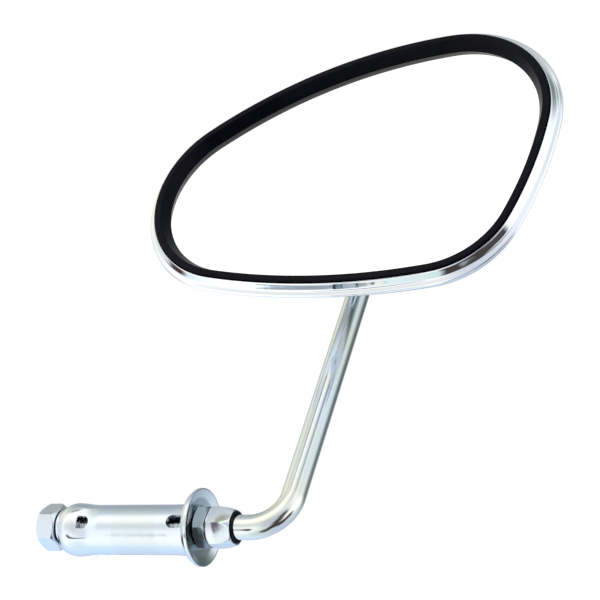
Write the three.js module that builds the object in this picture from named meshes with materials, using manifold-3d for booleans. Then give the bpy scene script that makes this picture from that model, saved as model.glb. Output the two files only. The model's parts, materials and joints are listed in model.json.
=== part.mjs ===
// Bar-end rear-view mirror for a moped or scooter.
// An expander clamp slides into the end of a tubular handlebar, a bent round rod rises from it
// and a teardrop mirror head sits on a ball joint at the rod's upper end.
//
// Frame: millimetres, +Z up.  The origin is the middle of the end washer's flat back face, on the
// handlebar's axis.  +X points outwards along that axis, -Y faces the rider.

import * as THREE from 'three';
import { mergeVertices } from 'three/addons/utils/BufferGeometryUtils.js';
import Module from 'manifold-3d';

const wasm = await Module();
wasm.setup();

const degrees = (angle) => THREE.MathUtils.degToRad(angle);

// ---------------------------------------------------------------- clearances
const restGap = 0.3;          // between two pieces that touch on the real mirror
const runningGap = 0.3;       // radial, where a piece turns or slides on another
const cutMargin = 1;          // how far a cutter runs past the face it opens

// ---------------------------------------------------------------- rod
const rodRadius = 4;          // M8 rod
const rodStraight = 4.05;     // from the seal ring's face to where the bend begins
const bendRadius = 12;
const legLean = degrees(37);  // the upper leg leans back from vertical by this much
const legLength = 141;        // corner to ball centre
const rodEndStandOut = 0.8;   // rod end past the hex nut
const spigotShoulder = 1.2;   // step down to the turned end that carries the ball
const spigotReach = 3;        // past the ball's centre

// ---------------------------------------------------------------- expander clamp
const sleeveLength = 47.7;
const sleeveWall = 1.4;
const coneRoom = 0.6;         // between the cone's thick end and the straight tube
const bulgeRise = 0.65;       // widest place near the inner end, over the straight tube
const bulgeFromEnd = 3.6;
const bulgeWaist = 5.4;       // where the bulge begins to fall back
const bulgeFade = 11.5;       // from the inner end to where the tube is straight
const mouthDrop = 0.2;        // the inner end is rounded in, under the straight tube
const mouthRound = 1.4;
const flareRise = 0.5;        // outer end, over the washer's spigot
const flareLength = 7;
const flareBell = 2;          // nearly straight part of the flare
const slotWidth = 4.3;
const innerSlotStart = 7.1;   // the closed slot over the rod's thread, from the inner end
const innerSlotEnd = 11.3;
const outerSlotLength = 7.2;
const slotCount = 2;
const slotAngle = degrees(20);  // first slot, measured from the rider's side upwards
const tangAngle = degrees(-102);
const tangFromEnd = 9;        // its free tip, from the inner end
const tangLength = 5.6;
const tangStandOut = 1.3;
const tangWidth = 3;
const tangThickness = 0.9;

const coneFlangeLength = 1.5;
const coneTipWall = 0.7;
const coneRise = 1.1;         // from the tip to the thick end
const coneLength = 6.6;
const hexNutAcross = 13.6;
const hexNutLength = 6.7;
const hexFaceShare = 0.97;    // round end face of a hexagon, of its size across flats
const hexChamferShare = 0.9;  // chamfer length, of the corners' height over the flats

// ---------------------------------------------------------------- end washer and nuts
const washerRadius = 12.5;
const washerThickness = 2.5;  // at the rim
const washerFloor = 1.2;      // at the bottom of its dish
const dishRoom = 0.4;         // around the jam nut's corners
const washerRimWidth = 0.6;
const washerEdgeRound = 0.4;
const spigotRoom = 0.6;       // between the spigot ring and the sleeve's flare
const spigotRingLength = 1.8;
const spigotChamfer = 0.5;
const jamNutAcross = 13;
const jamNutLength = 4.3;
const glandLength = 8;
const glandRimWall = 0.5;     // around the seal ring's pocket
const glandShoulder = 0.25;   // flats over the round end
const glandStraight = 2.6;    // before the hexagon begins to taper
const sealWall = 0.85;
const sealLength = 2.8;
const sealStandOut = 0.35;
const sealChamfer = 0.3;

// ---------------------------------------------------------------- ball joint
const ballRadius = 7;
const linerWall = 1.1;
const socketWall = 2.8;
const ballDepth = 40;         // ball centre behind the front lip of the head
const screwRoom = 6.3;        // from the ball's seat to a clamp screw's axis
const earWall = 3;            // around a clamp screw
const webHeight = 8;
const coverEarThickness = 4;
const coverDomeWall = 2;
const screwRadius = 2;        // M4
const screwHeadBrim = 1.8;
const screwHeadLength = 2.6;
const screwHeadCrown = 0.9;
const lockWasherWall = 1.3;
const lockWasherLength = 1;
const clampNutWall = 1.2;
const clampNutLength = 3.2;
const screwEndStandOut = 0.2;
const slotSide = 0.6;         // beside the rod, where it leaves the socket
const tiltUpRoom = degrees(22);    // rod swings forwards in the socket by this much, head tipped down
const tiltDownRoom = degrees(10);  // and backwards by this much, head tipped up

// ---------------------------------------------------------------- mirror head
const headTilt = degrees(25);      // the glass looks up by this much
// The front lip's outline is three round corners joined by three bowed sides.
// Corners: centre across, centre up, radius; measured from the ball's centre.
const upperOuterCorner = { x: 34, y: 9.4, radius: 38.6 };
const innerCorner = { x: -35.1, y: -12.8, radius: 36 };
const lowerOuterCorner = { x: 33.9, y: -20.4, radius: 31.8 };
const topBowRadius = 162;
const bottomBowRadius = 238;
const outerBowRadius = 141.5;

const trimLipWidth = 2.4;     // black edge, seen from the front
const trimInnerSlope = 2;     // it slopes in by this much down to the glass
const trimBackLip = 0.4;      // past the glass's back
const trimWall = 1.5;
const glassSetBack = 4.2;
const glassThickness = 3;
const padThickness = 3;
const padInset = 4;
const shellFrontSetBack = 0.7;
const rimOverhang = 3.6;      // how far the chrome stands out around the front lip
const rimBevelDepth = 3.6;
const rimEdgeDepth = 0.2;      // behind it the rim rolls back in to the shell's side
const shellOverhang = 1.8;
const domeInset = 22;
const domeDepth = 13;
const shellWall = 1.2;
const plateMargin = 6;        // past the clamp screws
const plateHeight = 24;
const plateThickness = 2;

// ---------------------------------------------------------------- mesh fineness
const roundSides = 32;
const fineSides = 20;
const smallSides = 16;
const arcSteps = 5;
const bendSteps = 9;
const ballSteps = 14;
const dishSteps = 4;
const domeSteps = 7;

// ---------------------------------------------------------------- materials
const zincPlate = () => new THREE.MeshStandardMaterial({ color: 0xc9d2da, roughness: 0.28, metalness: 1 });
const brightChrome = () => new THREE.MeshStandardMaterial({ color: 0xe6e8ea, roughness: 0.06, metalness: 1 });
const steel = () => new THREE.MeshStandardMaterial({ color: 0x9da1a4, roughness: 0.4, metalness: 1 });
const blackRubber = () => new THREE.MeshStandardMaterial({ color: 0x17181a, roughness: 0.45, metalness: 0 });
const silverGlass = () => new THREE.MeshStandardMaterial({ color: 0xf4f6f7, roughness: 0.02, metalness: 1 });
const nylon = () => new THREE.MeshStandardMaterial({ color: 0xdedbd0, roughness: 0.5, metalness: 0 });
const greyFoam = () => new THREE.MeshStandardMaterial({ color: 0x5c5f62, roughness: 0.95, metalness: 0 });

// ---------------------------------------------------------------- solids
function toSolid(geometry) {
  const bare = geometry.clone();
  bare.deleteAttribute('normal');
  bare.deleteAttribute('uv');
  const merged = mergeVertices(bare, 1e-4);
  const mesh = new wasm.Mesh({
    numProp: 3,
    vertProperties: new Float32Array(merged.attributes.position.array),
    triVerts: new Uint32Array(merged.index.array),
  });
  return new wasm.Manifold(mesh);
}

function fromSolid(solid) {
  const mesh = solid.getMesh();
  const geometry = new THREE.BufferGeometry();
  geometry.setAttribute('position', new THREE.Float32BufferAttribute(mesh.vertProperties, 3));
  geometry.setIndex(new THREE.Uint32BufferAttribute(mesh.triVerts, 1));
  geometry.computeVertexNormals();
  return geometry;
}

function cut(geometry, ...cutters) {
  const solid = cutters.reduce((rest, cutter) => rest.subtract(toSolid(cutter)), toSolid(geometry));
  return fromSolid(solid);
}

function join(geometry, ...others) {
  const solid = others.reduce((whole, other) => whole.add(toSolid(other)), toSolid(geometry));
  return fromSolid(solid);
}

function common(geometry, other) {
  return fromSolid(toSolid(geometry).intersect(toSolid(other)));
}

function piece(name, geometry, material) {
  const mesh = new THREE.Mesh(geometry, material);
  mesh.name = name;
  return mesh;
}

// A turned piece about the X axis.  The profile is a list of [x, radius], anticlockwise with x to
// the right and the radius upwards, and closes on itself or starts and ends on the axis.
function turnedAboutX(profile, sides) {
  const points = profile.map(([x, radius]) => new THREE.Vector2(radius, -x));
  const onAxis = profile[0][1] === 0 && profile.at(-1)[1] === 0;
  if (!onAxis) points.push(points[0].clone());
  return new THREE.LatheGeometry(points, sides).rotateZ(Math.PI / 2);
}

// A turned piece about the Y axis; the profile is a list of [y, radius] in the same sense.
function turnedAboutY(profile, sides) {
  return turnedAboutX(profile, sides).rotateZ(Math.PI / 2);
}

function rodAboutX(fromX, toX, radius, sides) {
  return turnedAboutX([[fromX, 0], [toX, 0], [toX, radius], [fromX, radius], [fromX, 0]], sides);
}

function rodAboutY(fromY, toY, radius, sides) {
  return rodAboutX(fromY, toY, radius, sides).rotateZ(Math.PI / 2);
}

// A hexagonal prism about X with chamfered corners and a round bore.
function hexagonAboutX(fromX, toX, across, holeRadius, sides) {
  const flatRadius = across / 2 * hexFaceShare;
  const cornerRadius = across / Math.sqrt(3);
  const chamfer = (cornerRadius - across / 2) * hexChamferShare;
  const prism = rodAboutX(fromX, toX, cornerRadius, 6);
  const rounding = turnedAboutX([
    [fromX, 0], [toX, 0], [toX, flatRadius], [toX - chamfer, cornerRadius],
    [fromX + chamfer, cornerRadius], [fromX, flatRadius], [fromX, 0],
  ], sides);
  const bore = rodAboutX(fromX - cutMargin, toX + cutMargin, holeRadius, smallSides);
  return cut(common(prism, rounding), bore);
}

// ---------------------------------------------------------------- places along the bar's axis
const boreRadius = rodRadius + runningGap;
const coneFlangeX = -sleeveLength - restGap - coneFlangeLength;
const hexNutInnerX = coneFlangeX - restGap;
const hexNutOuterX = hexNutInnerX - hexNutLength;
const jamNutX = washerFloor + restGap;
const glandX = jamNutX + jamNutLength + restGap;
const glandEndX = glandX + glandLength;
const sealFaceX = glandEndX + sealStandOut;
const bendStartX = sealFaceX + rodStraight;
const cornerX = bendStartX + bendRadius;

// ---------------------------------------------------------------- rod and ball
const ballCentre = new THREE.Vector3(
  cornerX, legLength * Math.sin(legLean), legLength * Math.cos(legLean),
);
const spigotRadius = rodRadius - spigotShoulder;
const shoulderFromBall = Math.sqrt(ballRadius ** 2 - rodRadius ** 2) + 2 * restGap;

// Centre line of the rod in its own plane: along X, round the bend, then up along Z.
// Stations are spread so that only the bend is divided finely.
class BentRodLine extends THREE.Curve {
  constructor(startX, endZ) {
    super();
    this.startX = startX;
    this.endZ = endZ;
  }

  getPoint(t) {
    const station = t * (bendSteps + 2);
    if (station < 1) {
      return new THREE.Vector3(THREE.MathUtils.lerp(this.startX, bendStartX, station), 0, 0);
    }
    if (station > bendSteps + 1) {
      const height = THREE.MathUtils.lerp(bendRadius, this.endZ, station - bendSteps - 1);
      return new THREE.Vector3(cornerX, 0, height);
    }
    const turn = (station - 1) / bendSteps * Math.PI / 2;
    const across = bendStartX + bendRadius * Math.sin(turn);
    return new THREE.Vector3(across, 0, bendRadius * (1 - Math.cos(turn)));
  }

  getPointAt(u) {
    return this.getPoint(u);
  }

  getTangentAt(u) {
    const station = THREE.MathUtils.clamp(u * (bendSteps + 2) - 1, 0, bendSteps);
    const turn = station / bendSteps * Math.PI / 2;
    return new THREE.Vector3(Math.cos(turn), 0, Math.sin(turn));
  }
}

function stemRod() {
  const section = new THREE.Shape().absarc(0, 0, rodRadius, 0, 2 * Math.PI);
  const shoulderZ = legLength - shoulderFromBall;
  const bar = new THREE.ExtrudeGeometry(section, {
    steps: bendSteps + 2,
    curveSegments: fineSides / 2,
    extrudePath: new BentRodLine(hexNutOuterX - rodEndStandOut, shoulderZ),
  });
  const spigotLength = legLength + spigotReach - shoulderZ + cutMargin;
  const spigot = new THREE.CylinderGeometry(spigotRadius, spigotRadius, spigotLength, fineSides)
    .rotateX(Math.PI / 2)
    .translate(cornerX, 0, legLength + spigotReach - spigotLength / 2);
  return join(bar, spigot).rotateX(-legLean);
}

function pivotBall() {
  const holeRadius = spigotRadius + restGap;
  const footAngle = Math.asin((holeRadius + restGap) / ballRadius);
  const footZ = -ballRadius * Math.cos(footAngle);
  const arc = Array.from({ length: ballSteps }, (_, i) => {
    const angle = footAngle + (Math.PI - footAngle) * i / ballSteps;
    return new THREE.Vector2(ballRadius * Math.sin(angle), -ballRadius * Math.cos(angle));
  });
  const holeTop = spigotReach + restGap;
  const profile = [
    new THREE.Vector2(0, holeTop),
    new THREE.Vector2(holeRadius, holeTop),
    new THREE.Vector2(holeRadius, footZ),
    ...arc,
    new THREE.Vector2(0, ballRadius),
  ];
  return new THREE.LatheGeometry(profile, fineSides).rotateX(Math.PI / 2).rotateX(-legLean);
}

// ---------------------------------------------------------------- expander clamp
const coneTipRadius = boreRadius + coneTipWall;
const coneRadius = coneTipRadius + coneRise;
const sleeveRadius = coneRadius + coneRoom + sleeveWall;
const bulgeRadius = sleeveRadius + bulgeRise;
const flareRadius = sleeveRadius + flareRise;

function slotCutter(fromX, toX, roundedX, angle) {
  const reach = flareRadius + bulgeRadius;
  const straight = new THREE.BoxGeometry(toX - fromX, reach, slotWidth)
    .translate((fromX + toX) / 2, -reach / 2, 0);
  const roundEnd = new THREE.CylinderGeometry(slotWidth / 2, slotWidth / 2, reach, fineSides)
    .translate(roundedX, -reach / 2, 0);
  return join(straight, roundEnd).rotateX(-angle);
}

function expanderSleeve() {
  const inner = -sleeveLength;
  const outer = 0;
  const outside = [
    [outer, flareRadius],
    [outer - flareBell, flareRadius - flareRise / 4],
    [outer - flareLength, sleeveRadius],
    [inner + bulgeFade, sleeveRadius],
    [inner + (bulgeFade + bulgeFromEnd) / 2, sleeveRadius + bulgeRise / 2],
    [inner + bulgeWaist, bulgeRadius - bulgeRise / 12],
    [inner + bulgeFromEnd, bulgeRadius],
    [inner + mouthRound, bulgeRadius - bulgeRise / 3],
    [inner, sleeveRadius - mouthDrop],
  ];
  const inside = outside.map(([x, radius]) => [x, radius - sleeveWall]).reverse();
  const tube = turnedAboutX([...outside, ...inside], roundSides);
  const cutters = [];
  for (let i = 0; i < slotCount; i += 1) {
    const angle = slotAngle + i * 2 * Math.PI / slotCount;
    const innerEnd = inner + innerSlotEnd - slotWidth / 2;
    const outerEnd = outer - outerSlotLength + slotWidth / 2;
    cutters.push(slotCutter(inner + innerSlotStart, innerEnd, innerEnd, angle));
    cutters.push(slotCutter(outerEnd, outer + cutMargin, outerEnd, angle));
  }
  const tangShape = new THREE.Shape([
    new THREE.Vector2(0, -sleeveRadius + tangThickness),
    new THREE.Vector2(0, -sleeveRadius),
    new THREE.Vector2(-tangLength, -sleeveRadius - tangStandOut),
    new THREE.Vector2(-tangLength, -sleeveRadius - tangStandOut + tangThickness),
  ]);
  const tang = new THREE.ExtrudeGeometry(tangShape, { depth: tangWidth, bevelEnabled: false })
    .translate(inner + tangFromEnd + tangLength, 0, -tangWidth / 2)
    .rotateX(-tangAngle);
  return join(cut(tube, ...cutters), tang);
}

function innerCone() {
  const shoulderX = coneFlangeX + coneFlangeLength + restGap;
  return turnedAboutX([
    [coneFlangeX, boreRadius],
    [shoulderX + coneLength, boreRadius],
    [shoulderX + coneLength, coneTipRadius],
    [shoulderX, coneRadius],
    [coneFlangeX, coneRadius],
  ], roundSides);
}

// The back face round the sleeve is the seat for the bar's end; the sleeve stands in a groove in it.
function endWasher() {
  const dishFloorRadius = jamNutAcross / Math.sqrt(3) + dishRoom;
  const rimInnerRadius = washerRadius - washerRimWidth;
  const dish = Array.from({ length: dishSteps + 1 }, (_, i) => {
    const t = i / dishSteps;
    return [
      washerFloor + (washerThickness - washerFloor) * t * t,
      THREE.MathUtils.lerp(dishFloorRadius, rimInnerRadius, t),
    ];
  });
  const grooveRadius = flareRadius + runningGap;
  const spigotRingRadius = flareRadius - sleeveWall - spigotRoom;
  return turnedAboutX([
    [-spigotRingLength, boreRadius],
    [washerFloor, boreRadius],
    ...dish,
    [washerThickness, washerRadius - washerEdgeRound / 2],
    [washerThickness - washerEdgeRound / 2, washerRadius],
    [washerEdgeRound, washerRadius],
    [0, washerRadius - washerEdgeRound],
    [0, grooveRadius],
    [restGap, grooveRadius],
    [restGap, spigotRingRadius],
    [spigotChamfer - spigotRingLength, spigotRingRadius],
    [-spigotRingLength, spigotRingRadius - spigotChamfer],
  ], roundSides);
}

function jamNut() {
  return hexagonAboutX(jamNutX, jamNutX + jamNutLength, jamNutAcross, boreRadius, roundSides);
}

const sealRadius = boreRadius + sealWall;

function glandNut() {
  const pocketRadius = sealRadius + restGap;
  const endRadius = pocketRadius + glandRimWall;
  const cornerRadius = (endRadius + glandShoulder) * 2 / Math.sqrt(3);
  const taper = turnedAboutX([
    [glandX, 0],
    [glandEndX, 0],
    [glandEndX, endRadius],
    [glandX + (glandStraight + glandLength) / 2, (endRadius + cornerRadius * 2) / 3],
    [glandX + glandStraight, cornerRadius],
    [glandX, cornerRadius],
    [glandX, 0],
  ], roundSides);
  const prism = rodAboutX(glandX, glandEndX, cornerRadius, 6);
  const bore = rodAboutX(glandX - cutMargin, glandEndX + cutMargin, boreRadius, fineSides);
  const pocketX = sealFaceX - sealLength - restGap;
  const pocket = rodAboutX(pocketX, glandEndX + cutMargin, pocketRadius, fineSides);
  return cut(common(prism, taper), bore, pocket);
}

function sealRing() {
  return turnedAboutX([
    [sealFaceX - sealLength, boreRadius],
    [sealFaceX, boreRadius],
    [sealFaceX, sealRadius - sealChamfer],
    [sealFaceX - sealChamfer, sealRadius],
    [sealFaceX - sealLength, sealRadius],
  ], roundSides);
}

// ---------------------------------------------------------------- head outline
// Centre of the bow that touches both corners from outside, on the side where the head is.
function bowCentre(first, second, bowRadius) {
  const toFirst = bowRadius - first.radius;
  const toSecond = bowRadius - second.radius;
  const dx = second.x - first.x;
  const dy = second.y - first.y;
  const apart = Math.hypot(dx, dy);
  const along = (toFirst ** 2 - toSecond ** 2 + apart ** 2) / (2 * apart);
  const aside = Math.sqrt(toFirst ** 2 - along ** 2);
  return {
    x: first.x + (dx * along - dy * aside) / apart,
    y: first.y + (dy * along + dx * aside) / apart,
  };
}

function headOutline(offset) {
  const corners = [upperOuterCorner, innerCorner, lowerOuterCorner];
  const bowRadii = [topBowRadius, bottomBowRadius, outerBowRadius];
  const bows = bowRadii.map((radius, i) => {
    const centre = bowCentre(corners[i], corners[(i + 1) % 3], radius);
    return { ...centre, radius };
  });
  const shape = new THREE.Shape();
  const angleFrom = (centre, point) => Math.atan2(point.y - centre.y, point.x - centre.x);
  corners.forEach((corner, i) => {
    const before = bows[(i + 2) % 3];
    const after = bows[i];
    const next = corners[(i + 1) % 3];
    const start = angleFrom(before, corner);
    const middle = angleFrom(after, corner);
    const end = angleFrom(after, next);
    shape.absarc(corner.x, corner.y, corner.radius + offset, start, middle, false);
    shape.absarc(after.x, after.y, after.radius + offset, middle, end, false);
  });
  return shape;
}

// A slab of the head's outline.  Depths are counted from the front lip towards the back.
function headSlab(offset, frontDepth, backDepth, bevel = {}) {
  return new THREE.ExtrudeGeometry(headOutline(offset), {
    depth: backDepth - frontDepth,
    curveSegments: arcSteps,
    bevelEnabled: false,
    ...bevel,
  })
    .rotateX(Math.PI / 2)
    .translate(0, backDepth - ballDepth, 0);
}

function bevelOf(size, thickness, segments) {
  return {
    bevelEnabled: true,
    bevelSize: size,
    bevelThickness: thickness,
    bevelSegments: segments,
    bevelOffset: -size,
  };
}

// A block that fills everything behind a depth.
function behind(depth) {
  const size = 4 * topBowRadius;
  return new THREE.BoxGeometry(size, size, size).translate(0, depth - ballDepth + size / 2, 0);
}

// From the glass back: pad, screw tips, nuts, plate and the shell's own back.
const glassBackDepth = glassSetBack + glassThickness;
const trimDepth = glassBackDepth + trimBackLip;
const padBackDepth = glassBackDepth + restGap + padThickness;
const clampNutFrontDepth = padBackDepth + restGap + screwEndStandOut;
const plateFrontDepth = clampNutFrontDepth + clampNutLength + restGap;
const plateBackDepth = plateFrontDepth + plateThickness;
const shellBackDepth = plateBackDepth + restGap + shellWall;
const domeStartDepth = shellBackDepth - domeDepth;
const rimCreaseDepth = shellFrontSetBack + rimBevelDepth;

// ---------------------------------------------------------------- ball socket
const linerOuterRadius = ballRadius + runningGap + linerWall;
const seatRadius = linerOuterRadius + runningGap;
const socketRadius = seatRadius + socketWall;
const socketFrontDepth = shellBackDepth + restGap;
const screwX = seatRadius + screwRoom;
const screwXs = [-screwX, screwX];
const earRadius = screwRadius + earWall;
const screwHoleRadius = screwRadius + restGap;
const coverBackY = restGap + coverEarThickness;

function ballShape(radius) {
  return new THREE.SphereGeometry(radius, fineSides, fineSides / 2);
}

// Room for the rod where it leaves the socket, as a fan in the plane it tips in.  The angles are
// counted from the head's own downward direction, and each edge runs beside the rod's round side.
function rodFan(front, back) {
  const side = rodRadius + slotSide;
  const reach = 3 * socketRadius;
  const frontEdge = new THREE.Vector2(-side * Math.cos(front), side * Math.sin(front));
  const backEdge = new THREE.Vector2(side * Math.cos(back), side * Math.sin(back));
  const frontEnd = new THREE.Vector2(-Math.sin(front), -Math.cos(front)).multiplyScalar(reach).add(frontEdge);
  const backEnd = new THREE.Vector2(Math.sin(back), -Math.cos(back)).multiplyScalar(reach).add(backEdge);
  const fan = new THREE.Shape([frontEdge, frontEnd, backEnd, backEdge]);
  return new THREE.ExtrudeGeometry(fan, { depth: 2 * side, bevelEnabled: false })
    .translate(0, 0, -side)
    .rotateX(Math.PI / 2)
    .rotateZ(Math.PI / 2);
}

function screwHoles(frontY, backY) {
  return screwXs.map((x) => rodAboutY(frontY, backY, screwHoleRadius, smallSides).translate(x, 0, 0));
}

function earedBody(frontY, backY, earBackY) {
  const round = rodAboutY(frontY, backY, socketRadius, roundSides);
  const ears = screwXs.map((x) => rodAboutY(frontY, earBackY, earRadius, fineSides).translate(x, 0, 0));
  const web = new THREE.BoxGeometry(2 * screwX, earBackY - frontY, webHeight)
    .translate(0, (frontY + earBackY) / 2, 0);
  return join(round, ...ears, web);
}

function socketBase() {
  const frontY = socketFrontDepth - ballDepth;
  const body = earedBody(frontY, -restGap, -restGap);
  const room = rodFan(tiltUpRoom, tiltDownRoom);
  return cut(body, ballShape(seatRadius), room, ...screwHoles(frontY - cutMargin, cutMargin));
}

function socketCover() {
  const domeRadius = seatRadius + coverDomeWall;
  const skirt = earedBody(restGap, coverBackY, coverBackY);
  const dome = common(ballShape(domeRadius), behind(ballDepth + restGap));
  const room = rodFan(tiltUpRoom, tiltDownRoom);
  return cut(join(skirt, dome), ballShape(seatRadius), room, ...screwHoles(0, coverBackY + cutMargin));
}

function ballLiner() {
  const rodAngle = legLean - headTilt;
  const room = rodFan(rodAngle, -rodAngle);
  return cut(ballShape(linerOuterRadius), ballShape(ballRadius + runningGap), room);
}

// ---------------------------------------------------------------- head pieces
function trimRing() {
  const body = headSlab(0, 0, trimDepth);
  const pocket = headSlab(-trimWall, glassSetBack - restGap, trimDepth + cutMargin);
  const mouth = headSlab(-trimLipWidth, -trimDepth, 0, bevelOf(trimInnerSlope, glassSetBack, 1));
  return cut(body, pocket, mouth);
}

function mirrorGlass() {
  return headSlab(-trimWall - restGap, glassSetBack, glassBackDepth);
}

function backingPad() {
  return headSlab(-padInset, padBackDepth - padThickness, padBackDepth);
}

function housingShell() {
  const bevel = bevelOf(rimOverhang - restGap, rimBevelDepth, 1);
  const rim = headSlab(rimOverhang, rimCreaseDepth, rimCreaseDepth + rimEdgeDepth, bevel);
  const back = common(
    headSlab(shellOverhang, rimCreaseDepth, domeStartDepth, bevelOf(domeInset, domeDepth, domeSteps)),
    behind(rimCreaseDepth),
  );
  const mouth = headSlab(restGap, -cutMargin, trimDepth + 2 * restGap);
  const cavity = common(
    headSlab(shellOverhang - shellWall, rimCreaseDepth, domeStartDepth,
      bevelOf(domeInset - shellWall, domeDepth - shellWall, domeSteps)),
    behind(trimDepth + restGap),
  );
  return cut(join(rim, back), mouth, cavity, ...screwHoles(plateBackDepth - ballDepth, 0));
}

function reinforcingPlate() {
  const corner = earRadius;
  const halfLength = screwX + plateMargin - corner;
  const halfHeight = plateHeight / 2 - corner;
  const outline = new THREE.Shape()
    .absarc(halfLength, halfHeight, corner, 0, Math.PI / 2)
    .absarc(-halfLength, halfHeight, corner, Math.PI / 2, Math.PI)
    .absarc(-halfLength, -halfHeight, corner, Math.PI, Math.PI * 3 / 2)
    .absarc(halfLength, -halfHeight, corner, Math.PI * 3 / 2, Math.PI * 2);
  const plate = new THREE.ExtrudeGeometry(outline, {
    depth: plateThickness, bevelEnabled: false, curveSegments: arcSteps,
  })
    .rotateX(Math.PI / 2)
    .translate(0, plateBackDepth - ballDepth, 0);
  return cut(plate, ...screwHoles(clampNutFrontDepth - ballDepth, shellBackDepth - ballDepth));
}

const clampNutFrontY = clampNutFrontDepth - ballDepth;
const lockWasherY = coverBackY + restGap;
const screwHeadY = lockWasherY + lockWasherLength + restGap;

function clampScrew() {
  const tipY = clampNutFrontY - screwEndStandOut;
  const headBackY = screwHeadY + screwHeadLength;
  const headRadius = screwRadius + screwHeadBrim;
  return turnedAboutY([
    [tipY, 0],
    [headBackY, 0],
    [headBackY, headRadius - screwHeadCrown],
    [headBackY - screwHeadCrown, headRadius],
    [screwHeadY, headRadius],
    [screwHeadY, screwRadius],
    [tipY, screwRadius],
    [tipY, 0],
  ], fineSides);
}

function lockWasher() {
  const backY = lockWasherY + lockWasherLength;
  const outerRadius = screwHoleRadius + lockWasherWall;
  return turnedAboutY([
    [lockWasherY, screwHoleRadius],
    [backY, screwHoleRadius],
    [backY, outerRadius],
    [lockWasherY, outerRadius],
  ], fineSides);
}

function clampNut() {
  const across = 2 * (screwHoleRadius + clampNutWall);
  const backY = clampNutFrontY + clampNutLength;
  return hexagonAboutX(clampNutFrontY, backY, across, screwHoleRadius, smallSides).rotateZ(Math.PI / 2);
}

// ---------------------------------------------------------------- assembly
const clamp = new THREE.Group();
const hexNutTurn = degrees(-3);
const jamNutTurn = degrees(30);
const glandNutTurn = degrees(17);
const hexNut = piece(
  'expander_hex_nut',
  hexagonAboutX(hexNutOuterX, hexNutInnerX, hexNutAcross, boreRadius, roundSides),
  zincPlate(),
);
hexNut.rotation.x = hexNutTurn;
const jam = piece('jam_nut', jamNut(), zincPlate());
jam.rotation.x = jamNutTurn;
const gland = piece('gland_nut', glandNut(), zincPlate());
gland.rotation.x = glandNutTurn;
clamp.add(
  hexNut,
  piece('expander_cone', innerCone(), zincPlate()),
  piece('expander_sleeve', expanderSleeve(), zincPlate()),
  piece('bar_end_washer', endWasher(), zincPlate()),
  jam,
  gland,
  piece('rod_seal_ring', sealRing(), blackRubber()),
  piece('stem_rod', stemRod(), zincPlate()),
);

const ball = piece('pivot_ball', pivotBall(), steel());
ball.position.copy(ballCentre);

const head = new THREE.Group();
head.position.copy(ballCentre);
head.rotation.x = -headTilt;
head.add(
  piece('ball_liner', ballLiner(), nylon()),
  piece('socket_base', socketBase(), brightChrome()),
  piece('socket_cover', socketCover(), brightChrome()),
  piece('housing_shell', housingShell(), brightChrome()),
  piece('trim_ring', trimRing(), blackRubber()),
  piece('mirror_glass', mirrorGlass(), silverGlass()),
  piece('glass_backing_pad', backingPad(), greyFoam()),
  piece('reinforcing_plate', reinforcingPlate(), steel()),
);
['inner', 'outer'].forEach((side, i) => {
  const screw = piece(`clamp_screw_${side}`, clampScrew(), zincPlate());
  const washer = piece(`lock_washer_${side}`, lockWasher(), zincPlate());
  const nut = piece(`clamp_screw_nut_${side}`, clampNut(), zincPlate());
  [screw, washer, nut].forEach((part) => {
    part.position.x = screwXs[i];
    head.add(part);
  });
});

const mirror = new THREE.Group();
mirror.add(clamp, ball, head);

export default mirror;
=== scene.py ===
"""Looks for the bar-end mirror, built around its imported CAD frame.

Row frame: metres, +X outwards along the handlebar, +Z up, the rider on the -Y side.  The shape
functions below take millimetres and convert them once, in new_piece().
"""

import json
import math

import bmesh
import bpy
from mathutils import Matrix, Vector


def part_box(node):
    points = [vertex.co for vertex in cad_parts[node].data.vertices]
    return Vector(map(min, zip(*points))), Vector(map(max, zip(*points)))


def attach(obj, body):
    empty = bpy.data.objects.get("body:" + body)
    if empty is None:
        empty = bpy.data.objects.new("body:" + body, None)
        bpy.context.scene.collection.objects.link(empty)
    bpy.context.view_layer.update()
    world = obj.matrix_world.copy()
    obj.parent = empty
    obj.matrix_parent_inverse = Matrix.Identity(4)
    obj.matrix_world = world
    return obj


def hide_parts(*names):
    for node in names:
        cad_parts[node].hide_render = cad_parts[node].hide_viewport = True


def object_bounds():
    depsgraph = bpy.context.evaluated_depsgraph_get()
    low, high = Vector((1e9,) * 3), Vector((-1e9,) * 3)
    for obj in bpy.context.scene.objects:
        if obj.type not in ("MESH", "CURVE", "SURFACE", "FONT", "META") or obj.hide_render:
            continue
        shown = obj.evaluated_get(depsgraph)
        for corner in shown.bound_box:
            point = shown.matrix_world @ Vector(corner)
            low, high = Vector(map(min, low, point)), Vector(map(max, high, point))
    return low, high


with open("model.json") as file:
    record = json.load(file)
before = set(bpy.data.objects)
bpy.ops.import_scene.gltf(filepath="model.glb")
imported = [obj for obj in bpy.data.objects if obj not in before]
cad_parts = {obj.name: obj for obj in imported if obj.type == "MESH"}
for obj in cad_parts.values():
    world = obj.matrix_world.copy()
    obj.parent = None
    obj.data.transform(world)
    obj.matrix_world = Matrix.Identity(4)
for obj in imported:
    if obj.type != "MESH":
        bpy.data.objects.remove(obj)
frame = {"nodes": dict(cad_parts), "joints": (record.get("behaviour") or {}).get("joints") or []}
cad_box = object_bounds()

MM = 0.001
TURN = 2 * math.pi

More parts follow.
